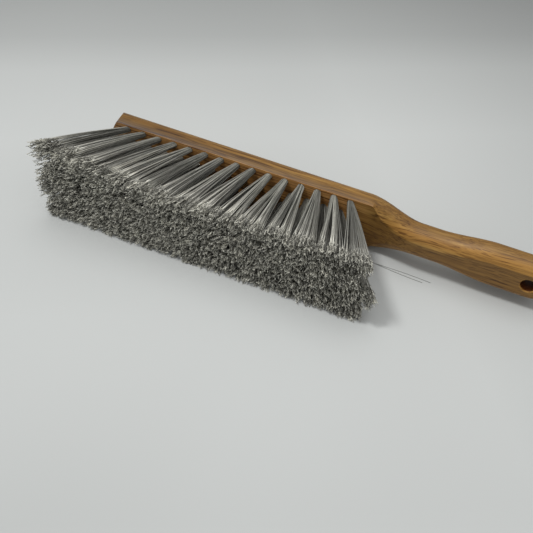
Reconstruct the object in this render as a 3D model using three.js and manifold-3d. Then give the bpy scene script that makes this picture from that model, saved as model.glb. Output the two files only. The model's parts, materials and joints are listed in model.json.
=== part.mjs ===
// Bee brush: one wooden block and handle, four staggered rows of synthetic tufts, and the
// flat wire anchor that holds each folded tuft in its drilled hole.
// Millimetres, +Z up. The brush lies on its side, on the block's lower edge and its lower tips.
//
// In the brush's own frame X runs along the brush to the handle's end, the bristles point
// to -Y from the flat face at y = 0, and Z runs across the rows.

import * as THREE from "three";
import { mergeVertices } from "three/addons/utils/BufferGeometryUtils.js";
import Module from "manifold-3d";

// ---- Tuft pattern -------------------------------------------------------------------
const rowCount = 4;
const tuftsInLongRow = 15;
const tuftPitch = 13.4;
const rowSpacing = 12.8;

// ---- Block: half-round behind a flat bristle face, its far end rounded in plan ---------
const blockWidth = 49;
const blockThickness = 23.5;
const blockSideDepth = 6;
const blockArris = 1.5;
const farEndMargin = 15.4;
const farEndRadius = 52;
const shoulderMargin = 12.2;
const blockSquareness = 2;

// ---- Handle: shoulder, neck, grip and rounded butt -----------------------------------
const shoulderLength = 44;
const neckLength = 15;
const swellLength = 45;
const gripLength = 31;
const buttLength = 14.5;
const neckWidth = 27;
const gripWidth = 37;
const handleMidDepth = 6;
const handleFaceDepth = -5.5;
const neckBackDepth = 15.5;
const gripBackDepth = 17;
const neckFlatWidth = 9.5;
const gripFlatWidth = 21;
const faceRunOutStart = 18;
const faceRunOutPower = 3.2;
const handleSquareness = 2.2;

// ---- Hanging hole --------------------------------------------------------------------
const hangHoleDiameter = 12;
const hangHoleInset = 17;
const hangHoleChamfer = 0.8;

// ---- Tufts ---------------------------------------------------------------------------
const trimLength = 69.5;
const tuftHoleDiameter = 5.5;
const tuftHoleDepth = 9;
const fitGap = 0.3;
const backingThickness = 1.2;
const backingMargin = 2.8;
const strandsRound = 6;
const strandSides = 3;
const strandRootRing = 1.55;
const strandTipRingAlong = 6;
const strandTipRingAcross = 6;
const strandRootRadius = 0.65;
const strandTipRadius = 1.2;

// Slopes of the filaments away from square to the face, in millimetres to the millimetre.
const upperEndFlare = 0.43;
const lowerEndFlare = 0.54;
const middleLean = 0.24;
const upperLean = 0.06;
const edgeFlare = 0.05;
const farCornerFlare = 0.25;
const shoulderCornerFlare = 0.08;

// ---- Anchors -------------------------------------------------------------------------
const anchorLength = 6;
const anchorHeight = 1.4;
const anchorWire = 0.5;
const foldThickness = 0.8;

// ---- Mesh fineness -------------------------------------------------------------------
const ringStep = 5;
const frontSteps = 5;
const backSteps = 18;
const buttSteps = 7;
const holeSides = 10;
const plugSides = 8;
const hangHoleSides = 28;
const farEndSteps = 16;
const buttLastAngle = 0.47 * Math.PI;
const weldDistance = 1e-4;
const overcut = 1;

// ---- Lying on the floor: the search for the tilt ---------------------------------------
const leastTilt = -Math.PI / 6;
const greatestTilt = Math.PI / 3;
const tiltHalvings = 40;

// ---- Places along the brush ----------------------------------------------------------
const fieldHalfLength = ((tuftsInLongRow - 1) / 2) * tuftPitch;
const fieldHalfWidth = ((rowCount - 1) / 2) * rowSpacing;
const farEnd = -fieldHalfLength - farEndMargin;
const shoulderStart = fieldHalfLength + shoulderMargin;
const runOutStart = fieldHalfLength + faceRunOutStart;
const neckStart = shoulderStart + shoulderLength;
const neckEnd = neckStart + neckLength;
const gripStart = neckEnd + swellLength;
const buttStart = gripStart + gripLength;
const handleEnd = buttStart + buttLength;
const hangHoleX = handleEnd - hangHoleInset;

const wasm = await Module();
wasm.setup();

// ---- Helpers -------------------------------------------------------------------------
function toSolid(geometry) {
  const bare = new THREE.BufferGeometry();
  bare.setAttribute("position", geometry.getAttribute("position"));
  bare.setIndex(geometry.getIndex());
  const merged = mergeVertices(bare, weldDistance);
  const mesh = new wasm.Mesh({
    numProp: 3,
    vertProperties: new Float32Array(merged.getAttribute("position").array),
    triVerts: new Uint32Array(merged.getIndex().array),
  });
  return new wasm.Manifold(mesh);
}

function toGeometry(solid) {
  const mesh = solid.getMesh();
  const geometry = new THREE.BufferGeometry();
  geometry.setAttribute("position", new THREE.BufferAttribute(mesh.vertProperties, 3));
  geometry.setIndex(new THREE.BufferAttribute(mesh.triVerts, 1));
  const faceted = geometry.toNonIndexed();
  faceted.computeVertexNormals();
  return faceted;
}

function indexedGeometry(points, triangles) {
  const geometry = new THREE.BufferGeometry();
  geometry.setAttribute("position", new THREE.Float32BufferAttribute(points.flat(), 3));
  geometry.setIndex(triangles.flat());
  return geometry;
}

function boxBetween(low, high) {
  const size = high.map((value, axis) => value - low[axis]);
  const box = new THREE.BoxGeometry(...size);
  box.translate(...low.map((value, axis) => value + size[axis] / 2));
  return box;
}

// A cylinder or cone along Y, from one depth to another.
function roundAlongY(x, z, fromY, toY, fromRadius, toRadius, sides) {
  const round = new THREE.CylinderGeometry(toRadius, fromRadius, toY - fromY, sides);
  round.translate(x, (fromY + toY) / 2, z);
  return round;
}

const ease = (t) => t * t * (3 - 2 * t);

// Smooth value at x through stops of [x, value], level before the first and after the last.
function along(x, stops) {
  if (x <= stops[0][0]) return stops[0][1];
  for (let i = 1; i < stops.length; i++) {
    const [x0, value0] = stops[i - 1];
    const [x1, value1] = stops[i];
    if (x <= x1) return value0 + (value1 - value0) * ease((x - x0) / (x1 - x0));
  }
  return stops[stops.length - 1][1];
}

const alongHandle = (x, block, neck, grip) =>
  along(x, [
    [shoulderStart, block],
    [neckStart, neck],
    [neckEnd, neck],
    [gripStart, grip],
  ]);

// ---- Wood ----------------------------------------------------------------------------
// Half the width of the flat on the bristle side: it runs out quickly at the shoulder.
function flatHalfWidth(x) {
  const blockFlat = blockWidth / 2 - blockArris;
  if (x <= runOutStart) return blockFlat;
  const neckFlat = neckFlatWidth / 2;
  if (x < neckStart) {
    const left = 1 - (x - runOutStart) / (neckStart - runOutStart);
    return neckFlat + (blockFlat - neckFlat) * left ** faceRunOutPower;
  }
  return along(x, [
    [neckEnd, neckFlat],
    [gripStart, gripFlatWidth / 2],
  ]);
}

// How much of its width a section keeps in the rounded butt.
function buttFactor(x) {
  const into = Math.max(0, x - buttStart) / buttLength;
  return Math.sqrt(Math.max(0, 1 - into * into));
}

// The section at x: flat front, rounded sides and a domed back.
function sectionAt(x) {
  const keep = buttFactor(x);
  const face = alongHandle(x, 0, handleFaceDepth, handleFaceDepth);
  const back = alongHandle(x, blockThickness, neckBackDepth, gripBackDepth);
  const middle = (face + back) / 2;
  const thicken = Math.sqrt(keep);
  const halfWidth = alongHandle(x, blockWidth / 2, neckWidth / 2, gripWidth / 2);
  const side = alongHandle(x, blockSideDepth, handleMidDepth, handleMidDepth);
  return {
    x,
    face: middle + (face - middle) * thicken,
    back: middle + (back - middle) * thicken,
    side: middle + (side - middle) * thicken,
    halfWidth: halfWidth * keep,
    flat: flatHalfWidth(x) * keep,
    power: 2 / alongHandle(x, blockSquareness, handleSquareness, handleSquareness),
  };
}

// Points round one section, counter-clockwise seen from the handle's end.
function sectionRing({ x, face, back, side, halfWidth, flat, power }) {
  const bulge = (value) => Math.sign(value) * Math.abs(value) ** power;
  const crest = Math.acos((flat / halfWidth) ** (1 / power));
  const frontDepth = (side - face) / bulge(Math.sin(crest));
  const backDepth = back - side;
  const frontPoint = (angle, sign) => [
    x,
    side - frontDepth * bulge(Math.sin(angle)),
    sign * halfWidth * bulge(Math.cos(angle)),
  ];
  const ring = [
    [x, face, flat],
    [x, face, -flat],
  ];
  for (let i = 1; i <= frontSteps; i++) {
    ring.push(frontPoint(crest * (1 - i / frontSteps), -1));
  }
  for (let i = 1; i <= backSteps; i++) {
    const angle = (Math.PI * i) / backSteps;
    const depth = i === backSteps ? 0 : bulge(Math.sin(angle));
    ring.push([x, side + backDepth * depth, -halfWidth * bulge(Math.cos(angle))]);
  }
  for (let i = 1; i < frontSteps; i++) {
    ring.push(frontPoint((crest * i) / frontSteps, 1));
  }
  return ring;
}

function sectionPlaces() {
  const places = [farEnd - overcut, shoulderStart];
  const steps = Math.round((buttStart - shoulderStart) / ringStep);
  for (let i = 1; i <= steps; i++) {
    places.push(shoulderStart + ((buttStart - shoulderStart) * i) / steps);
  }
  for (let i = 1; i <= buttSteps; i++) {
    places.push(buttStart + buttLength * Math.sin((buttLastAngle * i) / buttSteps));
  }
  return places;
}

// The brush's plan, seen square to its face: the far end is cut to a shallow round.
function planOutline() {
  const halfWidth = blockWidth / 2 + overcut;
  const reach = Math.asin(halfWidth / farEndRadius);
  const outline = new THREE.Shape();
  outline.absarc(farEnd + farEndRadius, 0, farEndRadius, Math.PI - reach, Math.PI + reach);
  outline.lineTo(handleEnd + overcut, -halfWidth);
  outline.lineTo(handleEnd + overcut, halfWidth);
  const depth = blockThickness - handleFaceDepth + 2 * overcut;
  const settings = { depth, curveSegments: farEndSteps, bevelEnabled: false };
  const plan = new THREE.ExtrudeGeometry(outline, settings);
  plan.rotateX(Math.PI / 2);
  plan.translate(0, blockThickness + overcut, 0);
  return plan;
}

function woodBlank() {
  const rings = sectionPlaces().map((x) => sectionRing(sectionAt(x)));
  const count = rings[0].length;
  const points = rings.flat();
  const triangles = [];
  for (let r = 0; r + 1 < rings.length; r++) {
    for (let j = 0; j < count; j++) {
      const a = r * count + j;
      const b = r * count + ((j + 1) % count);
      triangles.push([a, b, a + count], [b, b + count, a + count]);
    }
  }
  const last = (rings.length - 1) * count;
  for (let j = 1; j + 1 < count; j++) {
    triangles.push([0, j + 1, j], [last, last + j, last + j + 1]);
  }
  const lofted = toSolid(indexedGeometry(points, triangles));
  return lofted.intersect(toSolid(planOutline()));
}

// ---- Tuft places ---------------------------------------------------------------------
// Rows run from the upper edge down; every other row is one tuft shorter, half a pitch over.
function tuftPlaces() {
  const places = [];
  for (let row = 0; row < rowCount; row++) {
    const tufts = tuftsInLongRow - (row % 2);
    for (let column = 0; column < tufts; column++) {
      const x = (column - (tufts - 1) / 2) * tuftPitch;
      const z = fieldHalfWidth - row * rowSpacing;
      places.push({ row, column, x, z });
    }
  }
  return places;
}

const tufts = tuftPlaces();
const holeRadius = tuftHoleDiameter / 2;
const holeInnerRadius = holeRadius * Math.cos(Math.PI / holeSides);
const plugRadius = holeInnerRadius - fitGap;
const plugDepth = tuftHoleDepth - fitGap;
const anchorDeep = plugDepth - foldThickness - fitGap;
const anchorShallow = anchorDeep - anchorHeight;

// The anchor's own box, or the space round it when a gap is given.
function anchorBox({ x, z }, gap = 0) {
  const low = [x - anchorLength / 2 - gap, anchorShallow - gap, z - anchorWire / 2 - gap];
  const high = [x + anchorLength / 2 + gap, anchorDeep + gap, z + anchorWire / 2 + gap];
  return boxBetween(low, high);
}

function backingBox(gap = 0) {
  const halfLength = fieldHalfLength + backingMargin + gap;
  const halfWidth = fieldHalfWidth + backingMargin + gap;
  const front = gap > 0 ? -overcut : 0;
  return boxBetween(
    [-halfLength, front, -halfWidth],
    [halfLength, backingThickness + gap, halfWidth],
  );
}

function hangingHole() {
  const radius = hangHoleDiameter / 2;
  const wide = radius + hangHoleChamfer + overcut;
  const front = handleFaceDepth - overcut;
  const back = gripBackDepth + overcut;
  const bevel = hangHoleChamfer + overcut;
  const bore = roundAlongY(hangHoleX, 0, front, back, radius, radius, hangHoleSides);
  const frontCone = roundAlongY(hangHoleX, 0, front, front + bevel, wide, radius, hangHoleSides);
  const backCone = roundAlongY(hangHoleX, 0, back - bevel, back, radius, wide, hangHoleSides);
  return [toSolid(bore), toSolid(frontCone), toSolid(backCone)];
}

function woodBlockHandle() {
  const cuts = [toSolid(backingBox(fitGap)), ...hangingHole()];
  for (const tuft of tufts) {
    const { x, z } = tuft;
    const hole = roundAlongY(x, z, -overcut, tuftHoleDepth, holeRadius, holeRadius, holeSides);
    cuts.push(toSolid(hole), toSolid(anchorBox(tuft, fitGap)));
  }
  return toGeometry(woodBlank().subtract(wasm.Manifold.union(cuts)));
}

// ---- Bristles ------------------------------------------------------------------------
// One strand from inside the backing to the trimmed tips.
function strand(root, tip, turn) {
  const ringAt = ([x, y, z], radius) => {
    const ring = [];
    for (let i = 0; i < strandSides; i++) {
      const angle = turn + (i * 2 * Math.PI) / strandSides;
      ring.push([x + radius * Math.cos(angle), y, z + radius * Math.sin(angle)]);
    }
    return ring;
  };
  const points = [...ringAt(root, strandRootRadius), ...ringAt(tip, strandTipRadius)];
  const triangles = [];
  for (let i = 1; i + 1 < strandSides; i++) {
    triangles.push([0, i + 1, i], [strandSides, strandSides + i, strandSides + i + 1]);
  }
  for (let i = 0; i < strandSides; i++) {
    const next = (i + 1) % strandSides;
    triangles.push([i, next, i + strandSides], [next, next + strandSides, i + strandSides]);
  }
  return indexedGeometry(points, triangles);
}

// How low a row lies, from 0 for the upper one to 1 for the lower one.
const lowness = (z) => (1 - z / fieldHalfWidth) / 2;

// Where a filament that leaves the face at x is trimmed: the lower rows flare most, and the
// tufts lean to the far end, most of all in the middle and in the upper rows.
function tipAlong(x, z) {
  const out = x / fieldHalfLength;
  const low = lowness(z);
  const flare = upperEndFlare + (lowerEndFlare - upperEndFlare) * low;
  const lean = middleLean * (1 - out ** 2) + upperLean * (1 - low);
  return x + trimLength * (flare * out - lean);
}

// The same across the brush. The rows rise towards both ends, all but the lower one, which
// the floor holds level.
function tipAcross(x, z) {
  const cornerFlare = x < 0 ? farCornerFlare : shoulderCornerFlare;
  const rise = cornerFlare * (1 - lowness(z) ** 2) * (x / fieldHalfLength) ** 2;
  return z + trimLength * ((edgeFlare * z) / fieldHalfWidth + rise);
}

// A centre strand and a ring round it, one of the ring at the tuft's lowest place.
function tuftStrands({ x, z }) {
  const rootY = backingThickness / 2;
  const centreTip = [tipAlong(x, z), -trimLength, tipAcross(x, z)];
  const strands = [strand([x, rootY, z], centreTip, 0)];
  for (let i = 0; i < strandsRound; i++) {
    const angle = -Math.PI / 2 + (i * 2 * Math.PI) / strandsRound;
    const outX = Math.cos(angle);
    const outZ = Math.sin(angle);
    const root = [x + strandRootRing * outX, rootY, z + strandRootRing * outZ];
    const tipX = tipAlong(x + strandTipRingAlong * outX, z);
    const tipZ = tipAcross(x, z) + strandTipRingAcross * outZ;
    strands.push(strand(root, [tipX, -trimLength, tipZ], angle));
  }
  return strands;
}

// The folded foot of a tuft in its hole, with the eye that its anchor passes through.
function tuftFoot(tuft) {
  const { x, z } = tuft;
  const top = backingThickness / 2;
  const foot = roundAlongY(x, z, top, plugDepth, plugRadius, plugRadius, plugSides);
  return toSolid(foot).subtract(toSolid(anchorBox(tuft, fitGap)));
}

function bristleTufts() {
  const pieces = [toSolid(backingBox())];
  for (const tuft of tufts) {
    pieces.push(tuftFoot(tuft), ...tuftStrands(tuft).map(toSolid));
  }
  return toGeometry(wasm.Manifold.union(pieces));
}

// ---- Materials and assembly ----------------------------------------------------------
const makeMaterial = (color, roughness, metalness) =>
  new THREE.MeshStandardMaterial({ color, roughness, metalness });
const oiledHardwood = () => makeMaterial(0x9b744a, 0.55, 0);
const greyFilament = () => makeMaterial(0x8f8f88, 0.7, 0);
const brightWire = () => makeMaterial(0xb9b9b4, 0.35, 0.9);

function addPart(parent, name, geometry, material) {
  const mesh = new THREE.Mesh(geometry, material);
  mesh.name = name;
  parent.add(mesh);
}

// The tilt at which the block's back and the lowest tips touch the floor together.
function lyingTilt() {
  const tipZ = tipAcross(0, -fieldHalfWidth) - strandTipRingAcross - strandTipRadius;
  const domeDepth = blockThickness - blockSideDepth;
  const liftOf = (tilt) => {
    const tipHeight = trimLength * Math.sin(tilt) + tipZ * Math.cos(tilt);
    const dome = Math.hypot(domeDepth * Math.sin(tilt), (blockWidth / 2) * Math.cos(tilt));
    return tipHeight + blockSideDepth * Math.sin(tilt) + dome;
  };
  let low = leastTilt;
  let high = greatestTilt;
  for (let i = 0; i < tiltHalvings; i++) {
    const middle = (low + high) / 2;
    if (liftOf(middle) < 0) low = middle;
    else high = middle;
  }
  return (low + high) / 2;
}

const brush = new THREE.Group();
addPart(brush, "wood_block_handle", woodBlockHandle(), oiledHardwood());
addPart(brush, "bristle_tufts", bristleTufts(), greyFilament());
for (const tuft of tufts) {
  const name = `tuft_anchor_r${tuft.row + 1}_${String(tuft.column + 1).padStart(2, "0")}`;
  addPart(brush, name, anchorBox(tuft), brightWire());
}
brush.rotation.x = -lyingTilt();

// Stand the lying brush on the floor, centred over the origin.
const part = new THREE.Group();
part.add(brush);
part.updateMatrixWorld(true);
const bounds = new THREE.Box3().setFromObject(part, true);
const centre = bounds.getCenter(new THREE.Vector3());
brush.position.set(-centre.x, -centre.y, -bounds.min.z);

export default part;
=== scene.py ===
import json
import math

import bpy
import numpy as np
from mathutils import Matrix, Vector


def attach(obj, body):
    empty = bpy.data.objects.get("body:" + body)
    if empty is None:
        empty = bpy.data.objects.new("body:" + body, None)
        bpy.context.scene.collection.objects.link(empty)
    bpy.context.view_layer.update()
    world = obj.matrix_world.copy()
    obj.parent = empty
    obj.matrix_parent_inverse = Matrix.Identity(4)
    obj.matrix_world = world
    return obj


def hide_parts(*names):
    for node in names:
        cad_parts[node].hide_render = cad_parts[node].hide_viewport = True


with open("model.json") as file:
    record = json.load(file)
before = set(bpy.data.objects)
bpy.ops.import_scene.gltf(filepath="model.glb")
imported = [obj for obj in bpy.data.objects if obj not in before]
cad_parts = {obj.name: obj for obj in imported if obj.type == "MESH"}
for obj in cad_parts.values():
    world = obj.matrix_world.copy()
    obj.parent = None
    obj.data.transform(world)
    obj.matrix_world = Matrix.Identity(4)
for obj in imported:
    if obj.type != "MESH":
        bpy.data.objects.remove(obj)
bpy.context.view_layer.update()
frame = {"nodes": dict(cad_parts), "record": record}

# ---- Sizes, in millimetres in the brush's own frame ------------------------------------
# X runs along the brush to the handle's end, the bristles point to -Y from the flat face
# at y = 0, and Z runs across the rows.
MM = 0.001

ROW_COUNT = 4
TUFTS_IN_LONG_ROW = 15
TUFT_PITCH = 13.4
ROW_SPACING = 12.8

BLOCK_WIDTH = 49.0
BLOCK_THICKNESS = 23.5
BLOCK_SIDE_DEPTH = 6.0
BLOCK_ARRIS = 1.5
BLOCK_SQUARENESS = 2.0
FAR_END_MARGIN = 15.4
FAR_END_RADIUS = 52.0
FAR_END_FADE = 16.0
SHOULDER_MARGIN = 12.2

SHOULDER_LENGTH = 44.0
NECK_LENGTH = 15.0
SWELL_LENGTH = 45.0
GRIP_LENGTH = 31.0
BUTT_LENGTH = 14.5
NECK_WIDTH = 27.0
GRIP_WIDTH = 37.0
HANDLE_MID_DEPTH = 6.0
HANDLE_FACE_DEPTH = -5.5
NECK_BACK_DEPTH = 15.5
GRIP_BACK_DEPTH = 17.0
NECK_FLAT_WIDTH = 9.5
GRIP_FLAT_WIDTH = 21.0
FACE_RUN_OUT_START = 18.0
FACE_RUN_OUT_POWER = 3.2
HANDLE_SQUARENESS = 2.2

HANG_HOLE_RADIUS = 6.0
HANG_HOLE_INSET = 17.0
HANG_HOLE_CHAMFER = 0.8
# Steps over the hanging hole's rounded rim, as shares of the chamfer inwards and outwards.
HANG_HOLE_RIM = ((0.0, 1.0), (0.5, 1 / 3), (2.0, 0.0))

TRIM_LENGTH = 69.5
TUFT_HOLE_RADIUS = 2.75
TUFT_HOLE_DEPTH = 7.0

# Slopes of the filaments away from square to the face, in millimetres to the millimetre.
UPPER_END_FLARE = 0.43
LOWER_END_FLARE = 0.54
MIDDLE_LEAN = 0.24
UPPER_LEAN = 0.06
EDGE_FLARE = 0.05
FAR_CORNER_FLARE = 0.25
SHOULDER_CORNER_FLARE = 0.08

FIELD_HALF_LENGTH = (TUFTS_IN_LONG_ROW - 1) / 2 * TUFT_PITCH
FIELD_HALF_WIDTH = (ROW_COUNT - 1) / 2 * ROW_SPACING
FAR_END = -FIELD_HALF_LENGTH - FAR_END_MARGIN
SHOULDER_START = FIELD_HALF_LENGTH + SHOULDER_MARGIN
RUN_OUT_START = FIELD_HALF_LENGTH + FACE_RUN_OUT_START
NECK_START = SHOULDER_START + SHOULDER_LENGTH
NECK_END = NECK_START + NECK_LENGTH
GRIP_START = NECK_END + SWELL_LENGTH
BUTT_START = GRIP_START + GRIP_LENGTH
HANDLE_END = BUTT_START + BUTT_LENGTH
HANG_HOLE_X = HANDLE_END - HANG_HOLE_INSET

# The record's mount on the handle's flat, in the brush's own frame.
MOUNT_POINT = (205.0, HANDLE_FACE_DEPTH, 0.0)

# ---- Camera, in pixels, degrees and millimetres in the shared frame ----------------------
IMAGE_SIDE = 533
FOCAL_PIXELS = 1000.0
SENSOR_WIDTH = 36.0
CAMERA_AZIMUTH = 17.765
CAMERA_ELEVATION = 52.263
CAMERA_ROLL = 5.004
CAMERA_DISTANCE = 746.4
CAMERA_TARGET = (-6.752, -41.102, 21.808)

# ---- Wood shading ----------------------------------------------------------------------
# Each noise of the grain: how often it changes in a metre along X, Y and Z, its detail and
# its roughness. The drift moves all the others by up to WANDER metres.
DRIFT = ((7, 30, 30), 2.0, 0.5)
BANDS = ((5, 120, 120), 2.0, 0.5)
STREAKS = ((6, 460, 460), 3.0, 0.6)
FIBRES = ((60, 1500, 1500), 3.0, 0.6)
PORES = ((60, 1200, 1200), 1.0, 0.4)
RINGS = ((14, 750, 750), 1.0, 0.5)
WANDER = 0.014

# The streaks' part in the wood's tone, where the bands make up the rest.
STREAK_WEIGHT = 0.6
# Display colours at values of the tone and of each noise, and how strongly these show.
WOOD_COLORS = (
    (0.36, (112, 77, 34)),
    (0.45, (139, 100, 45)),
    (0.54, (153, 113, 54)),
    (0.66, (170, 131, 69)),
)
FIBRE_COLORS = ((0.34, (196, 188, 178)), (0.52, (250, 249, 247)), (0.7, (255, 255, 255)))
FIBRE_STRENGTH = 0.5
PORE_COLORS = ((0.32, (158, 136, 112)), (0.42, (255, 255, 255)))
PORE_STRENGTH = 0.85
RING_COLORS = ((0.36, (168, 150, 132)), (0.45, (255, 255, 255)))
# How strongly the growth rings show on the handle, where 1 is as on the block.
HANDLE_RINGS = 0.3

# The wood darkens towards its far end. Metres along X where it is darkest and where this ends.
DARK_SPAN = (-0.17, 0.03)
DARK_SHARES = ((0.0, 0.74), (1.0, 1.0))
# Metres along X where the handle's painted light and shade and its fainter rings end and
# where the block's are complete.
BLOCK_SPAN = (0.055, 0.03)
# Painted light and shade: shares of its colour at depths in millimetres behind the block's
# face and the handle's flat. They lighten the block's face and the handle's crest and darken
# the block's arris and the handle's back.
BLOCK_PAINTED_LIGHT = ((0.1, 1.9), (0.3, 0.52), (1.5, 0.6), (5.0, 0.7), (7.5, 0.96))
HANDLE_PAINTED_LIGHT = ((0.5, 1.15), (3.5, 1.38), (6.0, 0.98), (8.5, 0.76))
# Painted shade: the handle's flat is darker. It is told by how nearly square to the depth it
# lies.
FLAT_PAINTED_SHADE = 0.84
FLAT_SQUARE = (0.95, 0.97)
# Tints of the block's face and, as painted shade, of the hanging hole, and how deep into the wood
# each reaches.
FACE_TINT = (1.0, 0.98, 1.4, 1)
FACE_SKIN = 0.2
HOLE_PAINTED_SHADE = (0.32, 0.16, 0.1, 1)
HOLE_SKIN = 0.1

WOOD_ROUGHNESS = 0.36
FIBRE_ROUGHNESS = 0.25
WOOD_SHEEN = 0.35
PORE_HEIGHT = 0.5
WOOD_BUMP = {"Strength": 0.25, "Distance": 0.0003}

# ---- Filament and wire shading -----------------------------------------------------------
# Display colours along a filament from its root at 0 to its trimmed tip at 1. The dip just
# short of the tip is painted shade in the depths of the crinkled ends.
FILAMENT_COLORS = (
    (0.0, (160, 159, 150)),
    (0.4, (166, 165, 156)),
    (0.72, (186, 184, 175)),
    (0.8, (232, 230, 219)),
    (0.88, (212, 210, 199)),
    (0.94, (156, 154, 144)),
    (1.0, (214, 212, 200)),
)
# Shares of that colour by tone.
TONE_SHARES = ((0.0, 0.08), (0.5, 0.66), (1.0, 1.9))
MOTTLE = ((260, 260, 260), 2.0, 0.5)
MOTTLE_COLORS = ((0.35, (226, 224, 218)), (0.6, (255, 255, 255)))
MOTTLE_STRENGTH = 0.5
FILAMENT_ROUGHNESS = 0.55
FILAMENT_SHEEN = 0.4

# The anchors' wire and the noise of its drawing.
DRAWN = ((300, 4000, 4000), 3.0, 0.5)
WIRE_COLORS = ((0.3, (150, 150, 148)), (0.7, (205, 205, 202)))
WIRE_ROUGHNESS = 0.2
DRAWN_ROUGHNESS = 0.3
WIRE_BUMP = {"Strength": 0.2, "Distance": 0.0001}

# ---- Wood mesh fineness ----------------------------------------------------------------
RING_STEP = 2.5
CORNER_STEPS = 10
BACK_STEPS = 60
CROWN_RINGS = 8
BUTT_RINGS = 16
BUTT_LAST_ANGLE = 0.496 * math.pi
HOLE_SIDES = 28
HANG_HOLE_SIDES = 72
HOLE_OVERCUT = 2.0
SHARP_DEGREES = 24

# ---- Filaments -------------------------------------------------------------------------
SEED = 7
FILAMENTS = 96
SHAFT_SIDES = 3
SHAFT_STEPS = 6
SHAFT_RADIUS = 0.3
SHAFT_RADIUS_SPAN = (0.85, 1.15)
ROOT_SINK = 3.0
ROOT_RADIUS = 2.6
ROOT_BEND = -0.12
TRIM_SHORTFALL = 3.4
TRIM_EXCESS = 1.02

# How far a tuft's tips spread, where 1 just meets the next tuft's, and in how square a pattern.
TIP_FILL = 1.12
TIP_SQUARENESS = 2.6

# Filaments gather in clumps. The pulls are shares of the way to the clump's centre, midway
# and at the tips, and the tone is how much of it a clump has in common.
CLUMPS = 30
CLUMP_SPREAD = 0.85
CLUMP_PULL = 0.7
CLUMP_PULL_POWER = 1.3
CLUMP_HELD = 0.3
CLUMP_TONE = 0.6

# Scatter of whole tufts and of single filaments at the tips, and of the filaments midway.
TUFT_SCATTER = 0.7
TIP_SCATTER = 0.7
MOST_SCATTER = 1.5
BOW = 0.3

# Tones run from 0 for dark to 1 for pale, and the shafts keep to a range of them.
SHAFT_TONE_START = 0.1
SHAFT_TONE_RANGE = 0.78

# The split, crinkled end of each filament.
HAIRS = 3
HAIR_STEPS = 8
HAIR_RADIUS = 0.26
HAIR_END_RADIUS = 0.22
HAIR_LENGTH = 10.5
HAIR_LENGTH_SPAN = (0.7, 1.3)
HAIR_SPREAD = 0.45
HAIR_SPREAD_SPAN = (0.3, 1.0)
HAIR_CURL = 0.6
HAIR_CURL_SPAN = (0.2, 1.0)
HAIR_CURL_POWER = 4
HAIR_CRIMP = 0.6
HAIR_CRIMP_SHARES = (1.0, 0.7, 1.0)
HAIR_TONE = 0.85
HAIR_TONE_REACH = 0.25

# Filaments of the upper rows' last tufts at the far end, strayed out and down.
STRAY_ROWS = 2
STRAY_RARITY = 2.5
STRAY_SHIFT = (-11.0, -4.0)

# Filaments that reach the floor lie on it.
FLOOR_SOFTNESS = 1.8
FLOOR_GAP = 0.25

# Start, middle and end of two filaments that have worked loose and lie on the floor, in
# millimetres in the shared frame.
LOOSE_ENDS = (
    ((58.0, 12.0), (88.0, 13.4), (110.0, 11.8)),
    ((62.0, 12.5), (86.0, 9.6), (104.0, 9.4)),
)
LOOSE_RADIUS = 0.16
LOOSE_GAP = 0.02
LOOSE_TONE = 0.3
LOOSE_STEPS = 24
LOOSE_SIDES = 6

# A direction that no filament runs in, to find the sides of its tube.
TUBE_HINT = (1.0, 0.0, 0.2)

# ---- Floor and light --------------------------------------------------------------------
# Painted shade: the floor darkens towards the back and to the right, where the light falls
# off. For each: a turn in degrees, metres that way where the change starts and ends, and
# shares of the colour between the two.
BACK_TURN = 25.7
BACK_FADE = (-0.22, 0.31)
BACK_PAINTED_SHADE = ((0.0, 0.87), (0.3, 0.95), (0.65, 0.96), (0.81, 0.83), (0.9, 0.66), (1.0, 0.57))
SIDE_TURN = 38.0
SIDE_FADE = (0.1, 0.34)
SIDE_PAINTED_SHADE = ((0.0, 1.0), (1.0, 0.7))
FLOOR_MOTTLE = ((3, 3, 3), 1.0, 0.5)
FLOOR_COLORS = ((0.3, (191, 193, 191)), (0.7, (198, 200, 198)))
FLOOR_ROUGHNESS = 0.9
FLOOR_SHEEN = 0.1
FLOOR_HALF = 4.0

# Name, turn and height in degrees, spread in degrees and strength of each light.
LIGHTS = (
    ("window_light", 205, 74, 40, 0.6),
    ("side_light", 284, 66, 10, 1.45),
)
WALL_STRENGTH = 0.2
CEILING_STRENGTH = 0.78
ROOM_COLOR = (0.97, 0.98, 0.99, 1)


# ---- Placement and camera ----------------------------------------------------------------
def brush_placement(record):
    """The matrix from the brush's own frame to the shared one, from the record's mount."""
    mount = record["mounts"][0]
    axis = mount["axis"]
    tilt = math.atan2(axis[2], -axis[1])
    turn = Matrix.Rotation(-tilt, 4, "X")
    at_mount = turn @ (Vector(MOUNT_POINT) * MM)
    return Matrix.Translation(Vector(mount["pos_m"]) - at_mount) @ turn


def placed(points, placement):
    """Points of any array shape, from the brush's frame to the shared one, in millimetres."""
    matrix = np.array(placement)
    return points @ matrix[:3, :3].T + matrix[:3, 3] / MM


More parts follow.
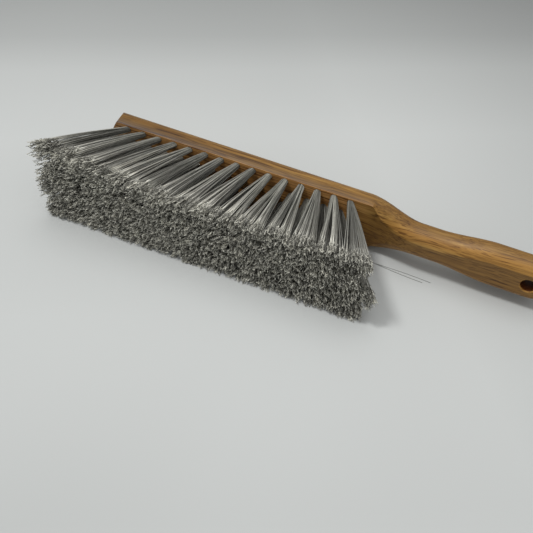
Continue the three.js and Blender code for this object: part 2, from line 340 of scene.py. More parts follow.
def add_camera():
    azimuth = math.radians(CAMERA_AZIMUTH)
    elevation = math.radians(CAMERA_ELEVATION)
    roll = math.radians(CAMERA_ROLL)
    back = Vector((
        math.sin(azimuth) * math.cos(elevation),
        -math.cos(azimuth) * math.cos(elevation),
        math.sin(elevation),
    ))
    level = Vector((math.cos(azimuth), math.sin(azimuth), 0))
    right = level * math.cos(roll) + back.cross(level) * math.sin(roll)
    up = back.cross(right)
    data = bpy.data.cameras.new("camera")
    data.sensor_width = SENSOR_WIDTH
    data.lens = FOCAL_PIXELS / IMAGE_SIDE * SENSOR_WIDTH
    camera = bpy.data.objects.new("camera", data)
    bpy.context.scene.collection.objects.link(camera)
    eye = (Vector(CAMERA_TARGET) + back * CAMERA_DISTANCE) * MM
    turn = Matrix((right, up, back)).transposed().to_4x4()
    camera.matrix_world = Matrix.Translation(eye) @ turn
    bpy.context.scene.camera = camera


# ---- Node helpers ------------------------------------------------------------------------
# Places of a colour mix node's sockets for its share, its two colours and its result.
MIX_SHARE = 0
MIX_FIRST = 6
MIX_SECOND = 7
MIX_RESULT = 2

# The curve of display values: where its straight start ends, the slope of that start, and
# the offset and power of the rest.
DISPLAY_KNEE = 0.04045
DISPLAY_SLOPE = 12.92
DISPLAY_OFFSET = 0.055
DISPLAY_POWER = 2.4
DISPLAY_WHITE = 255


class Nodes:
    """A short way to write the nodes of a material or of the world."""

    def __init__(self, owner):
        owner.use_nodes = True
        self.owner = owner
        self.tree = owner.node_tree

    def add(self, kind, inputs=None, **settings):
        """Adds a node with its settings, and its inputs by name or place."""
        node = self.tree.nodes.new(kind)
        for key, value in settings.items():
            setattr(node, key, value)
        for key, value in (inputs or {}).items():
            self.put(value, node.inputs[key])
        return node

    def put(self, value, socket):
        """Links another node's output to a socket, or sets the socket's own value."""
        if isinstance(value, bpy.types.NodeSocket):
            self.tree.links.new(value, socket)
        else:
            socket.default_value = value

    def math(self, operation, *values):
        inputs = dict(enumerate(values))
        return self.add("ShaderNodeMath", inputs, operation=operation).outputs["Value"]

    def vector(self, operation, *values):
        inputs = dict(enumerate(values))
        node = self.add("ShaderNodeVectorMath", inputs, operation=operation)
        is_number = operation in ("LENGTH", "DOT_PRODUCT")
        return node.outputs["Value" if is_number else "Vector"]

    def between(self, value, start, end):
        """0 up to the start, 1 from the end on and even between them."""
        inputs = {"Value": value, "From Min": start, "From Max": end}
        return self.add("ShaderNodeMapRange", inputs).outputs["Result"]

    def mix(self, share, first, second, blend="MIX"):
        inputs = {MIX_SHARE: share, MIX_FIRST: first, MIX_SECOND: second}
        node = self.add("ShaderNodeMix", inputs, data_type="RGBA", blend_type=blend)
        return node.outputs[MIX_RESULT]

    def tinted(self, color, tint, strength=1.0):
        return self.mix(strength, color, tint, "MULTIPLY")

    def ramp(self, value, stops):
        """A ramp through stops of a place and a linear colour."""
        node = self.add("ShaderNodeValToRGB", {"Fac": value})
        elements = node.color_ramp.elements
        missing = len(stops) - len(elements)
        for number in range(missing):
            elements.new((number + 1) / (missing + 1))
        for element, (place, color) in zip(elements, stops):
            element.position = place
            element.color = color
        return node.outputs["Color"]

    def colors(self, value, stops):
        """A ramp through stops of a place and a display colour."""
        return self.ramp(value, [(place, srgb(*color)) for place, color in stops])

    def shares(self, value, stops):
        """A ramp through stops of a place and a share of white."""
        return self.ramp(value, [(place, grey(share)) for place, share in stops])

    def position(self):
        return self.add("ShaderNodeTexCoord").outputs["Object"]

    def noise(self, where, stretch, detail, roughness):
        stretched = self.add("ShaderNodeMapping", {"Vector": where, "Scale": stretch})
        inputs = {
            "Vector": stretched.outputs["Vector"],
            "Scale": 1.0,
            "Detail": detail,
            "Roughness": roughness,
        }
        return self.add("ShaderNodeTexNoise", inputs).outputs["Fac"]

    def attribute(self, name):
        node = self.add("ShaderNodeAttribute", attribute_name=name, attribute_type="GEOMETRY")
        return node.outputs["Fac"]

    def surface(self, inputs):
        """Sets inputs of the material's shader and gives the material."""
        shader = self.tree.nodes["Principled BSDF"]
        for key, value in inputs.items():
            self.put(value, shader.inputs[key])
        return self.owner


def linear_share(value):
    """The linear share of white of a display value from 0 to 255."""
    share = value / DISPLAY_WHITE
    if share <= DISPLAY_KNEE:
        return share / DISPLAY_SLOPE
    return ((share + DISPLAY_OFFSET) / (1 + DISPLAY_OFFSET)) ** DISPLAY_POWER


def srgb(*color):
    """A linear colour with alpha from a display colour."""
    return (*(linear_share(value) for value in color), 1.0)


def grey(value):
    return (value, value, value, 1.0)


# ---- Materials ---------------------------------------------------------------------------
def grain(nodes, where, on_block):
    """The wood's grain colour before its painted light and shade, with the noises of its fibres
    and pores.
    """
    drift = nodes.noise(where, *DRIFT)
    swing = nodes.add("ShaderNodeCombineXYZ", {"Y": drift, "Z": drift}).outputs["Vector"]
    wander = nodes.mix(WANDER, where, swing, "ADD")
    bands, streaks, fibres, pores, rings = (
        nodes.noise(wander, *noise) for noise in (BANDS, STREAKS, FIBRES, PORES, RINGS)
    )
    banded = nodes.math("MULTIPLY", bands, 1 - STREAK_WEIGHT)
    tone = nodes.math("MULTIPLY_ADD", streaks, STREAK_WEIGHT, banded)
    color = nodes.colors(tone, WOOD_COLORS)
    color = nodes.tinted(color, nodes.colors(fibres, FIBRE_COLORS), FIBRE_STRENGTH)
    color = nodes.tinted(color, nodes.colors(pores, PORE_COLORS), PORE_STRENGTH)
    ring_strength = nodes.math("MULTIPLY_ADD", on_block, 1 - HANDLE_RINGS, HANDLE_RINGS)
    color = nodes.tinted(color, nodes.colors(rings, RING_COLORS), ring_strength)
    return color, fibres, pores


def depth_shares(nodes, depth, face_depth, shares):
    """Painted light and shade: the share of its colour that the wood keeps at a depth, from
    depths behind a face.
    """
    face = face_depth * MM
    behind = nodes.between(depth, face, face + BLOCK_THICKNESS * MM)
    return nodes.shares(behind, [(place / BLOCK_THICKNESS, share) for place, share in shares])


def painted_light_and_shade(nodes, depth, inward, on_block):
    """Painted light and shade: the share of its colour the wood keeps on the block and handle, by
    depth, with the handle's flat darker.
    """
    block_share = depth_shares(nodes, depth, 0.0, BLOCK_PAINTED_LIGHT)
    side_share = depth_shares(nodes, depth, HANDLE_FACE_DEPTH, HANDLE_PAINTED_LIGHT)
    outward = nodes.add("ShaderNodeNewGeometry").outputs["True Normal"]
    on_flat = nodes.between(nodes.vector("DOT_PRODUCT", outward, -inward), *FLAT_SQUARE)
    handle_share = nodes.mix(on_flat, side_share, grey(FLAT_PAINTED_SHADE))
    return nodes.mix(on_block, handle_share, block_share)


def wood_material(placement):
    """Oiled open-pored hardwood, grain along X, darker at the far end, painted light and shade by
    depth and in the hole.
    """
    nodes = Nodes(bpy.data.materials.new("oiled_hardwood"))
    where = nodes.position()
    along_brush = nodes.add("ShaderNodeSeparateXYZ", {"Vector": where}).outputs["X"]
    on_block = nodes.between(along_brush, *BLOCK_SPAN)
    color, fibres, pores = grain(nodes, where, on_block)
    color = nodes.tinted(color, nodes.shares(nodes.between(along_brush, *DARK_SPAN), DARK_SHARES))

    hole_centre = placement @ (Vector((HANG_HOLE_X, 0, 0)) * MM)
    inward = placement.to_3x3() @ Vector((0, 1, 0))
    beside = nodes.vector("SUBTRACT", where, hole_centre)
    depth = nodes.vector("DOT_PRODUCT", beside, inward)
    # Painted light and shade by depth, and painted shade on the handle's flat.
    color = nodes.tinted(color, painted_light_and_shade(nodes, depth, inward, on_block))
    on_face = nodes.math("LESS_THAN", depth, FACE_SKIN * MM)
    color = nodes.tinted(color, FACE_TINT, nodes.math("MULTIPLY", on_face, on_block))
    # Painted shade inside the hanging hole.
    off_axis = nodes.vector("LENGTH", nodes.vector("CROSS_PRODUCT", beside, inward))
    in_hole = nodes.math("LESS_THAN", off_axis, (HANG_HOLE_RADIUS + HOLE_SKIN) * MM)
    color = nodes.tinted(color, HOLE_PAINTED_SHADE, in_hole)

    height = nodes.math("MULTIPLY_ADD", pores, PORE_HEIGHT, fibres)
    bump = nodes.add("ShaderNodeBump", {"Height": height, **WOOD_BUMP})
    return nodes.surface({
        "Base Color": color,
        "Roughness": nodes.math("MULTIPLY_ADD", fibres, FIBRE_ROUGHNESS, WOOD_ROUGHNESS),
        "Specular IOR Level": WOOD_SHEEN,
        "Normal": bump.outputs["Normal"],
    })


def filament_material():
    """Grey synthetic filament, palest where it starts to split, with painted shade just short of
    the tips.
    """
    nodes = Nodes(bpy.data.materials.new("grey_filament"))
    color = nodes.colors(nodes.attribute("reach"), FILAMENT_COLORS)
    color = nodes.tinted(color, nodes.shares(nodes.attribute("tone"), TONE_SHARES))
    mottle = nodes.noise(nodes.position(), *MOTTLE)
    color = nodes.tinted(color, nodes.colors(mottle, MOTTLE_COLORS), MOTTLE_STRENGTH)
    return nodes.surface({
        "Base Color": color,
        "Roughness": FILAMENT_ROUGHNESS,
        "Specular IOR Level": FILAMENT_SHEEN,
    })


def wire_material():
    """Bare wire with the fine lines of drawing."""
    nodes = Nodes(bpy.data.materials.new("drawn_wire"))
    drawn = nodes.noise(nodes.position(), *DRAWN)
    bump = nodes.add("ShaderNodeBump", {"Height": drawn, **WIRE_BUMP})
    return nodes.surface({
        "Base Color": nodes.colors(drawn, WIRE_COLORS),
        "Roughness": nodes.math("MULTIPLY_ADD", drawn, DRAWN_ROUGHNESS, WIRE_ROUGHNESS),
        "Metallic": 1.0,
        "Normal": bump.outputs["Normal"],
    })


def floor_painted_shade(nodes, where, turn, axis, span, shares):
    """Painted shade: the share of its colour that the floor keeps along an axis turned about Z.
    """
    rotation = (0, 0, -math.radians(turn))
    turned = nodes.add("ShaderNodeMapping", {"Vector": where, "Rotation": rotation})
    places = nodes.add("ShaderNodeSeparateXYZ", {"Vector": turned.outputs["Vector"]})
    return nodes.shares(nodes.between(places.outputs[axis], *span), shares)


def floor_material():
    """A pale matt sheet with painted shade, darker towards the back and to the right."""
    nodes = Nodes(bpy.data.materials.new("pale_sheet"))
    where = nodes.position()
    color = nodes.colors(nodes.noise(where, *FLOOR_MOTTLE), FLOOR_COLORS)
    to_back = floor_painted_shade(nodes, where, BACK_TURN, "Y", BACK_FADE, BACK_PAINTED_SHADE)
    to_side = floor_painted_shade(nodes, where, SIDE_TURN, "X", SIDE_FADE, SIDE_PAINTED_SHADE)
    return nodes.surface({
        "Base Color": nodes.tinted(nodes.tinted(color, to_back), to_side),
        "Roughness": FLOOR_ROUGHNESS,
        "Specular IOR Level": FLOOR_SHEEN,
    })


# ---- Mesh helpers ------------------------------------------------------------------------
def mesh_object(name, points, faces, material):
    mesh = bpy.data.meshes.new(name)
    mesh.from_pydata([tuple(p) for p in points], [], faces)
    mesh.materials.append(material)
    piece = bpy.data.objects.new(name, mesh)
    bpy.context.scene.collection.objects.link(piece)
    return piece


def ease(share):
    return share * share * (3 - 2 * share)


def along(x, stops):
    """Smooth value at x through (x, value) stops, level before the first and after the last."""
    if x <= stops[0][0]:
        return stops[0][1]
    for (x0, value0), (x1, value1) in zip(stops, stops[1:]):
        if x <= x1:
            return value0 + (value1 - value0) * ease((x - x0) / (x1 - x0))
    return stops[-1][1]


def along_handle(x, block, neck, grip):
    """A size at x from its values on the block, on the neck and on the grip."""
    stops = [(SHOULDER_START, block), (NECK_START, neck), (NECK_END, neck), (GRIP_START, grip)]
    return along(x, stops)


# ---- Wood --------------------------------------------------------------------------------
def flat_half_width(x):
    """Half the width of the flat face, which runs out over the shoulder in a curve."""
    block_flat = BLOCK_WIDTH / 2 - BLOCK_ARRIS
    if x <= RUN_OUT_START:
        return block_flat
    neck_flat = NECK_FLAT_WIDTH / 2
    if x < NECK_START:
        left = 1 - (x - RUN_OUT_START) / (NECK_START - RUN_OUT_START)
        return neck_flat + (block_flat - neck_flat) * left ** FACE_RUN_OUT_POWER
    return along(x, [(NECK_END, neck_flat), (GRIP_START, GRIP_FLAT_WIDTH / 2)])


def section_depths(x, thickness_left):
    """Depths of one section's face, back and widest line, drawn in to the middle."""
    face = along_handle(x, 0.0, HANDLE_FACE_DEPTH, HANDLE_FACE_DEPTH)
    back = along_handle(x, BLOCK_THICKNESS, NECK_BACK_DEPTH, GRIP_BACK_DEPTH)
    side = along_handle(x, BLOCK_SIDE_DEPTH, HANDLE_MID_DEPTH, HANDLE_MID_DEPTH)
    middle = (face + back) / 2
    return [middle + (depth - middle) * thickness_left for depth in (face, back, side)]


def section_ring(x):
    """Places across, back depths and front depths of one section, from edge to edge.

    Towards the handle's end the width falls off in an arc, and the thickness later."""
    into = max(0.0, x - BUTT_START) / BUTT_LENGTH
    keep = math.sqrt(max(0.0, 1 - into * into))
    face, back, side = section_depths(x, math.sqrt(keep))
    half_width = along_handle(x, BLOCK_WIDTH / 2, NECK_WIDTH / 2, GRIP_WIDTH / 2) * keep
    flat = flat_half_width(x) * keep
    power = 2 / along_handle(x, BLOCK_SQUARENESS, HANDLE_SQUARENESS, HANDLE_SQUARENESS)
    crest = math.acos((flat / half_width) ** (1 / power))
    angles = np.concatenate([
        np.linspace(0, crest, CORNER_STEPS, endpoint=False),
        np.linspace(crest, math.pi - crest, BACK_STEPS, endpoint=False),
        np.linspace(math.pi - crest, math.pi, CORNER_STEPS + 1),
    ])
    rise = np.abs(np.sin(angles)) ** power
    rise[[0, -1]] = 0.0
    across = half_width * np.sign(np.cos(angles)) * np.abs(np.cos(angles)) ** power
    back_depth = side + (back - side) * rise
    front_depth = side - (side - face) * rise / math.sin(crest) ** power
    front_depth[CORNER_STEPS:CORNER_STEPS + BACK_STEPS + 1] = face
    return across, back_depth, front_depth


def crown_setback(across):
    """How far the far end is rounded back at a place across it."""
    return FAR_END_RADIUS - np.sqrt(FAR_END_RADIUS ** 2 - across ** 2)


def section_places():
    """Places along the brush of the wood's sections, closer together at both ends."""
    places = list(np.linspace(FAR_END, FAR_END + FAR_END_FADE, CROWN_RINGS, endpoint=False))
    start = FAR_END + FAR_END_FADE
    steps = round((BUTT_START - start) / RING_STEP)
    places += list(np.linspace(start, BUTT_START, steps, endpoint=False))
    turns = np.linspace(0, BUTT_LAST_ANGLE, BUTT_RINGS)
    places += list(BUTT_START + BUTT_LENGTH * np.sin(turns))
    return places


def blank_faces(rings, last):
    """Faces between section rings of 2 * last points, and across the first and last ring.

    Those across a ring join each two neighbouring points to the two opposite them."""
    faces = []
    count = 2 * last
    for ring in range(rings - 1):
        for j in range(count):
            a = ring * count + j
            b = ring * count + (j + 1) % count
            faces.append((a, b, b + count, a + count))
    for first, flip in ((0, False), ((rings - 1) * count, True)):
        for j in range(last):
            opposite = [first + (count - k) % count for k in (j, j + 1)]
            corners = list(dict.fromkeys([first + j, *opposite, first + j + 1]))
            faces.append(tuple(reversed(corners)) if flip else tuple(corners))
    return faces


def wood_blank(material):
    """The block and the handle before any hole is cut."""
    points = []
    last = CORNER_STEPS * 2 + BACK_STEPS
    places = section_places()
    for x in places:
        across, back_depth, front_depth = section_ring(x)
        fade = max(0.0, 1 - (x - FAR_END) / FAR_END_FADE)
        shifted = x + crown_setback(across) * fade
        points += list(zip(shifted, back_depth, across))
        inner = slice(last - 1, 0, -1)
        points += list(zip(shifted[inner], front_depth[inner], across[inner]))
    faces = blank_faces(len(places), last)
    return mesh_object("wood_block_and_handle", np.array(points) * MM, faces, material)


def round_body(x, z, stops, sides):
    """A closed round body along Y through (depth, radius) stops."""
    points, faces = [], []
    for depth, radius in stops:
        for i in range(sides):
            angle = 2 * math.pi * i / sides
            points.append((x + radius * math.cos(angle), depth, z + radius * math.sin(angle)))
    for ring in range(len(stops) - 1):
        for i in range(sides):
            a, b = ring * sides + i, ring * sides + (i + 1) % sides
            faces.append((a, a + sides, b + sides, b))
    faces.append(tuple(range(sides)))
    top = (len(stops) - 1) * sides
    faces.append(tuple(reversed(range(top, top + sides))))
    return points, faces


def hanging_hole_stops():
    """Depths and radii down the hanging hole, with its rims rounded over."""
    rim = [(-HOLE_OVERCUT, HANG_HOLE_RADIUS + HANG_HOLE_CHAMFER + HOLE_OVERCUT)]
    for inward, outward in HANG_HOLE_RIM:
        depth = HANG_HOLE_CHAMFER * inward
        rim.append((depth, HANG_HOLE_RADIUS + HANG_HOLE_CHAMFER * outward))
    front = [(HANDLE_FACE_DEPTH + depth, radius) for depth, radius in rim]
    back = [(GRIP_BACK_DEPTH - depth, radius) for depth, radius in reversed(rim)]
    return front + back


def hole_cutters():
    """Points and faces of a body for every tuft hole and the hanging hole, as one mesh."""
    tuft_stops = [(-HOLE_OVERCUT, TUFT_HOLE_RADIUS), (TUFT_HOLE_DEPTH, TUFT_HOLE_RADIUS)]
    bodies = [round_body(t["x"], t["z"], tuft_stops, HOLE_SIDES) for t in tuft_places()]
    bodies.append(round_body(HANG_HOLE_X, 0, hanging_hole_stops(), HANG_HOLE_SIDES))
    points, faces = [], []
    for body_points, body_faces in bodies:
        start = len(points)
        points += body_points
        faces += [tuple(start + i for i in face) for face in body_faces]
    return points, faces


def cut_holes(wood, material):
    """Cuts the tuft holes and the hanging hole out of the wood's mesh."""
    points, faces = hole_cutters()
    cutter = mesh_object("cutter", np.array(points) * MM, faces, material)
    cut = wood.modifiers.new("holes", "BOOLEAN")
    cut.operation = "DIFFERENCE"
    cut.solver = "EXACT"
    cut.object = cutter
    bpy.context.view_layer.update()
    evaluated = wood.evaluated_get(bpy.context.evaluated_depsgraph_get())
    mesh = bpy.data.meshes.new_from_object(evaluated)
    wood.modifiers.clear()
    wood.data = mesh
    mesh.name = wood.name
    bpy.data.objects.remove(cutter)


def add_wood(placement, material):
    wood = wood_blank(material)
    cut_holes(wood, material)
    mesh = wood.data
    mesh.polygons.foreach_set("use_smooth", [True] * len(mesh.polygons))
    mesh.set_sharp_from_angle(angle=math.radians(SHARP_DEGREES))
    mesh.transform(placement)
    mesh.update()
    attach(wood, "root")
    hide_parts("wood_block_handle")


# ---- Tubes -------------------------------------------------------------------------------
def frames_along(paths):
    """Two unit directions square to each path at each of its points."""
    step = np.gradient(paths, axis=1)
    step /= np.linalg.norm(step, axis=2, keepdims=True)
    side = np.cross(step, np.array(TUBE_HINT))
    side /= np.linalg.norm(side, axis=2, keepdims=True)
    return side, np.cross(step, side)


def tubes(paths, radii, sides, turn):
    """Vertices, side faces and caps of closed tubes along paths of shape (tubes, steps, 3)."""
    count, steps, _ = paths.shape
    side, other = frames_along(paths)
    angles = turn[:, None] + np.arange(sides) * 2 * math.pi / sides
    cosine = np.cos(angles)[:, None, :, None]
    sine = np.sin(angles)[:, None, :, None]
    ring = side[:, :, None, :] * cosine + other[:, :, None, :] * sine
    points = paths[:, :, None, :] + ring * radii[:, :, None, None]
    index = np.arange(count * steps * sides).reshape(count, steps, sides)
    following = np.roll(index, -1, axis=2)
    quads = np.stack([index[:, :-1], following[:, :-1], following[:, 1:], index[:, 1:]], -1)
    caps = np.concatenate([index[:, 0, ::-1], index[:, -1]])
    return points.reshape(-1, 3), quads.reshape(-1, 4), caps


def mesh_of_arrays(name, points, face_groups):
    """A smooth mesh from an array of points and arrays of faces, each of one corner count."""
    corners = np.concatenate([group.ravel() for group in face_groups])
    face_sizes = np.concatenate([np.full(len(group), group.shape[1]) for group in face_groups])
    starts = np.cumsum(face_sizes) - face_sizes
    mesh = bpy.data.meshes.new(name)
    mesh.vertices.add(len(points))
    mesh.vertices.foreach_set("co", points.astype(np.float32).ravel())
    mesh.loops.add(len(corners))
    mesh.loops.foreach_set("vertex_index", corners.astype(np.int32))
    mesh.polygons.add(len(face_sizes))
    mesh.polygons.foreach_set("loop_start", starts.astype(np.int32))
    mesh.polygons.foreach_set("use_smooth", np.ones(len(face_sizes), bool))
    mesh.update(calc_edges=True)
    mesh.validate()
    return mesh


def add_filament_piece(name, parts, material):
    """One piece from parts of (paths, radii, reach, tone, sides, turn), in millimetres."""
    points, quads, caps, reaches, tones = [], [], [], [], []
    start = 0
    for paths, radii, reach, tone, sides, turn in parts:
        part_points, part_quads, part_caps = tubes(paths, radii, sides, turn)
        points.append(part_points)
        quads.append(part_quads + start)
        caps.append(part_caps + start)
        reaches.append(np.repeat(reach.reshape(-1), sides))
        tones.append(np.repeat(tone.reshape(-1), sides))
        start += len(part_points)
    mesh = mesh_of_arrays(name, np.concatenate(points) * MM, quads + caps)
    for label, values in (("reach", reaches), ("tone", tones)):
        layer = mesh.attributes.new(label, "FLOAT", "POINT")
        layer.data.foreach_set("value", np.concatenate(values).astype(np.float32))
    mesh.materials.append(material)
    piece = bpy.data.objects.new(name, mesh)
    bpy.context.scene.collection.objects.link(piece)
    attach(piece, "root")
    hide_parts("bristle_tufts")


# ---- Tufts -------------------------------------------------------------------------------
def tuft_places():
    """Row, column and place on the face of every tuft. Every second row has one tuft fewer."""
    places = []
    for row in range(ROW_COUNT):
        tufts = TUFTS_IN_LONG_ROW - row % 2
        for column in range(tufts):
            x = (column - (tufts - 1) / 2) * TUFT_PITCH
            z = FIELD_HALF_WIDTH - row * ROW_SPACING
            places.append({"row": row, "column": column, "x": x, "z": z})
    return places


def lowness(z):
    """How low a row lies, from 0 for the upper one to 1 for the lower one."""
    return (1 - z / FIELD_HALF_WIDTH) / 2


def tip_along(x, z):
    """Where a filament that leaves the face at x, z is trimmed, along the brush."""
    out = x / FIELD_HALF_LENGTH
    low = lowness(z)
    flare = UPPER_END_FLARE + (LOWER_END_FLARE - UPPER_END_FLARE) * low
    lean = MIDDLE_LEAN * (1 - out ** 2) + UPPER_LEAN * (1 - low)
    return x + TRIM_LENGTH * (flare * out - lean)


def tip_across(x, z):
    """The same across the brush: all rows but the lower one rise towards both ends."""
    corner_flare = FAR_CORNER_FLARE if x < 0 else SHOULDER_CORNER_FLARE
    low = min(1.0, lowness(z))
    rise = corner_flare * (1 - low ** 2) * (x / FIELD_HALF_LENGTH) ** 2
    return z + TRIM_LENGTH * (EDGE_FLARE * z / FIELD_HALF_WIDTH + rise)


def tip_reach(x, z, way):
    """How far a tuft's tips spread one way, so that they meet the next tuft's."""
    half_pitch, half_spacing = way * TUFT_PITCH / 2, way * ROW_SPACING / 2
    beside = tip_along(x + half_pitch, z) - tip_along(x, z)
    above = tip_across(x, z + half_spacing) - tip_across(x, z)
    return TIP_FILL * np.abs([beside, above])


def even_disc(turn):
    """Evenly spaced points of a disc of radius 1, one for each filament."""
    count = np.arange(FILAMENTS)
    spread = np.sqrt((count + 0.5) / FILAMENTS)
    golden_angle = math.pi * (3 - math.sqrt(5))
    angle = count * golden_angle + turn
    return np.stack([spread * np.cos(angle), spread * np.sin(angle)], -1)


def squared_disc(disc):
    """Points of a disc spread out into a square with round corners, so that tufts meet."""
    reach = np.linalg.norm(disc, axis=1, keepdims=True)
    unit = np.abs(disc / reach)
    return disc / np.sum(unit ** TIP_SQUARENESS, axis=1, keepdims=True) ** (1 / TIP_SQUARENESS)


class Tuft:
    """The filaments of one tuft as curves from inside its hole to the trimmed tips."""

    def __init__(self, tuft, rng):
        x, z = tuft["x"], tuft["z"]
        self.disc = even_disc(rng.uniform(0, 2 * math.pi))
        centres = rng.uniform(-CLUMP_SPREAD, CLUMP_SPREAD, (CLUMPS, 2))
        apart = np.linalg.norm(self.disc[:, None] - centres[None], axis=2)
        clump = np.argmin(apart, axis=1)
        self.gathered = centres[clump] - self.disc
        self.square = squared_disc(self.disc)
        self.root = np.array([x, z])
        self.tip = np.array([tip_along(x, z), tip_across(x, z)])
        self.tip += rng.normal(0, TUFT_SCATTER, 2).clip(-MOST_SCATTER, MOST_SCATTER)
        self.half_tip = np.where(self.square < 0, tip_reach(x, z, -1), tip_reach(x, z, 1))
        self.scatter = rng.normal(0, TIP_SCATTER, (FILAMENTS, 2))
        self.scatter = self.scatter.clip(-MOST_SCATTER, MOST_SCATTER)
        if tuft["row"] < STRAY_ROWS and tuft["column"] == 0:
            stray = rng.uniform(0, 1, (FILAMENTS, 1)) ** STRAY_RARITY
            self.scatter += stray * STRAY_SHIFT
        self.bow = rng.normal(0, BOW, (FILAMENTS, 2))
        self.trim = TRIM_LENGTH + rng.uniform(-TRIM_SHORTFALL, TRIM_EXCESS, FILAMENTS)
        own_tone = rng.uniform(0, 1, FILAMENTS)
        shared_tone = rng.uniform(0, 1, CLUMPS)[clump]
        tone = own_tone + CLUMP_TONE * (shared_tone - own_tone)
        self.tone = SHAFT_TONE_START + SHAFT_TONE_RANGE * tone

    def points(self, which, share):
        """Points of some of the filaments at shares of their length, each an array of its own.

        A filament leans over at once and straightens towards its tip. On its way it is
        drawn to the middle of its clump, and it is held there a little at its tip."""
        s = share[..., None]
        lean = (1 - ROOT_BEND) * s + ROOT_BEND * s ** 2
        centre = self.root + (self.tip - self.root) * lean
        half = ROOT_RADIUS + (self.half_tip[which, None] - ROOT_RADIUS) * s
        pull = CLUMP_PULL * np.sin(math.pi * s ** CLUMP_PULL_POWER) + CLUMP_HELD * s
        place = self.disc[which, None] * (1 - s) + self.square[which, None] * s
        place = place + self.gathered[which, None] * pull
        across = centre + half * place
        across += self.scatter[which, None] * s + self.bow[which, None] * np.sin(math.pi * s)
        depth = -self.trim[which, None] * share
        return np.stack([across[..., 0], depth, across[..., 1]], -1)


def above_floor(points):
    """Points in the shared frame, eased up where they come close to the floor or below it."""
    high = points[..., 2]
    room = FLOOR_SOFTNESS * np.exp((high - FLOOR_SOFTNESS - FLOOR_GAP) / FLOOR_SOFTNESS)
    points[..., 2] = np.where(high < FLOOR_SOFTNESS + FLOOR_GAP, FLOOR_GAP + room, high)
    return points


def factors(rng, span, count):
    """A column of random factors within a span, one for each filament or hair."""
    return rng.uniform(*span, count)[:, None]


def shaft_part(curves, split, placement, rng):
    """The filaments from inside the hole to where each of them splits."""
    shares = np.linspace(0, 1, SHAFT_STEPS)[None, :] * split[:, None]
    paths = curves.points(np.arange(FILAMENTS), shares)
    sunk = paths[:, :1] + np.array([0.0, ROOT_SINK, 0.0])
    paths = above_floor(placed(np.concatenate([sunk, paths], axis=1), placement))
    shares = np.concatenate([np.zeros((FILAMENTS, 1)), shares], axis=1)
    full = np.ones(shares.shape)
    radii = SHAFT_RADIUS * factors(rng, SHAFT_RADIUS_SPAN, FILAMENTS) * full
    tone = curves.tone[:, None] * full
    turn = rng.uniform(0, 2 * math.pi, FILAMENTS)
    return paths, radii, shares, tone, SHAFT_SIDES, turn


def hair_part(curves, split, placement, rng):
    """The crinkled hairs that each filament splits into."""
    count = FILAMENTS * HAIRS
    owner = np.repeat(np.arange(FILAMENTS), HAIRS)
    steps = np.linspace(0, 1, HAIR_STEPS + 1)[None, :]
    shares = split[owner, None] + (1 - split[owner, None]) * steps
    paths = curves.points(owner, shares)
    away = rng.uniform(0, 2 * math.pi, count)[:, None]
    spread = HAIR_SPREAD * factors(rng, HAIR_SPREAD_SPAN, count) * steps
    curl = HAIR_CURL * factors(rng, HAIR_CURL_SPAN, count) * steps ** HAIR_CURL_POWER
    crimp = rng.normal(0, HAIR_CRIMP, (count, HAIR_STEPS + 1, 3)) * HAIR_CRIMP_SHARES
    paths += crimp * (steps > 0)[..., None]
    paths[..., 0] += np.cos(away) * (spread + curl)
    paths[..., 2] += np.sin(away) * (spread + curl)
    paths = above_floor(placed(paths, placement))
    radii = (HAIR_RADIUS + (HAIR_END_RADIUS - HAIR_RADIUS) * steps) * np.ones(shares.shape)
    shaft_tone = curves.tone[owner, None]
    own_tone = rng.uniform(0, 1, (count, 1))
    own_share = HAIR_TONE * np.minimum(1, steps / HAIR_TONE_REACH)
    tone = shaft_tone + (own_tone - shaft_tone) * own_share
    turn = rng.uniform(0, 2 * math.pi, count)
    return paths, radii, shares, tone, SHAFT_SIDES, turn


def add_tuft(tuft, placement, material, rng):
    curves = Tuft(tuft, rng)
    split = 1 - HAIR_LENGTH * rng.uniform(*HAIR_LENGTH_SPAN, FILAMENTS) / TRIM_LENGTH
    parts = [part(curves, split, placement, rng) for part in (shaft_part, hair_part)]
    name = f"tuft_r{tuft['row'] + 1}_{tuft['column'] + 1:02d}"
    add_filament_piece(name, parts, material)


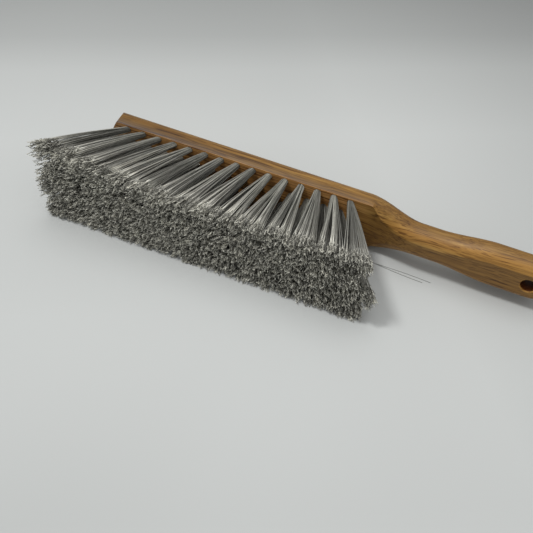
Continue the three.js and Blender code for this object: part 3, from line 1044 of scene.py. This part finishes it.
def add_loose_filaments(material):
    """The filaments that lie on the floor, each a flat curve bent towards its middle point."""
    parts = []
    even = np.ones((1, LOOSE_STEPS))
    for start, middle, end in LOOSE_ENDS:
        s = np.linspace(0, 1, LOOSE_STEPS)[:, None]
        start, middle, end = (np.array(point) for point in (start, middle, end))
        flat = (1 - s) ** 2 * start + 2 * s * (1 - s) * middle + s ** 2 * end
        height = np.full((LOOSE_STEPS, 1), LOOSE_RADIUS + LOOSE_GAP)
        paths = np.concatenate([flat, height], axis=1)[None]
        radii, reach, tone = LOOSE_RADIUS * even, 0 * even, LOOSE_TONE * even
        parts.append((paths, radii, reach, tone, LOOSE_SIDES, np.zeros(1)))
    add_filament_piece("loose_filaments", parts, material)


# ---- Floor and light ---------------------------------------------------------------------
def add_floor():
    half = FLOOR_HALF
    corners = [(-half, -half, 0), (half, -half, 0), (half, half, 0), (-half, half, 0)]
    floor = mesh_object("floor", corners, [(0, 1, 2, 3)], floor_material())


def add_light(name, azimuth, elevation, spread, strength):
    data = bpy.data.lights.new(name, "SUN")
    data.angle = math.radians(spread)
    data.energy = strength
    light = bpy.data.objects.new(name, data)
    bpy.context.scene.collection.objects.link(light)
    turn, lift = math.radians(azimuth), math.radians(elevation)
    towards = Vector((
        math.sin(turn) * math.cos(lift),
        -math.cos(turn) * math.cos(lift),
        math.sin(lift),
    ))
    light.matrix_world = towards.to_track_quat("Z", "Y").to_matrix().to_4x4()


def add_world():
    """Light from all around, weakest from the level and strongest from above."""
    nodes = Nodes(bpy.data.worlds.new("room"))
    direction = nodes.add("ShaderNodeTexCoord").outputs["Generated"]
    height = nodes.add("ShaderNodeSeparateXYZ", {"Vector": direction}).outputs["Z"]
    strength = nodes.add("ShaderNodeMapRange", {
        "Value": height,
        "To Min": WALL_STRENGTH,
        "To Max": CEILING_STRENGTH,
    })
    background = nodes.tree.nodes["Background"]
    nodes.put(ROOM_COLOR, background.inputs["Color"])
    nodes.put(strength.outputs["Result"], background.inputs["Strength"])
    bpy.context.scene.world = nodes.owner


def dress_anchors(material):
    """The anchors show their own solids, as drawn wire."""
    for name, node in frame["nodes"].items():
        if name.startswith("tuft_anchor"):
            node.data.materials.clear()
            node.data.materials.append(material)


# ---- Build -------------------------------------------------------------------------------
placement = brush_placement(frame["record"])
add_camera()
add_wood(placement, wood_material(placement))
filament = filament_material()
rng = np.random.default_rng(SEED)
for tuft in tuft_places():
    add_tuft(tuft, placement, filament, rng)
add_loose_filaments(filament)
dress_anchors(wire_material())
add_floor()
for light in LIGHTS:
    add_light(*light)
add_world()
bpy.context.scene.view_settings.view_transform = "Standard"
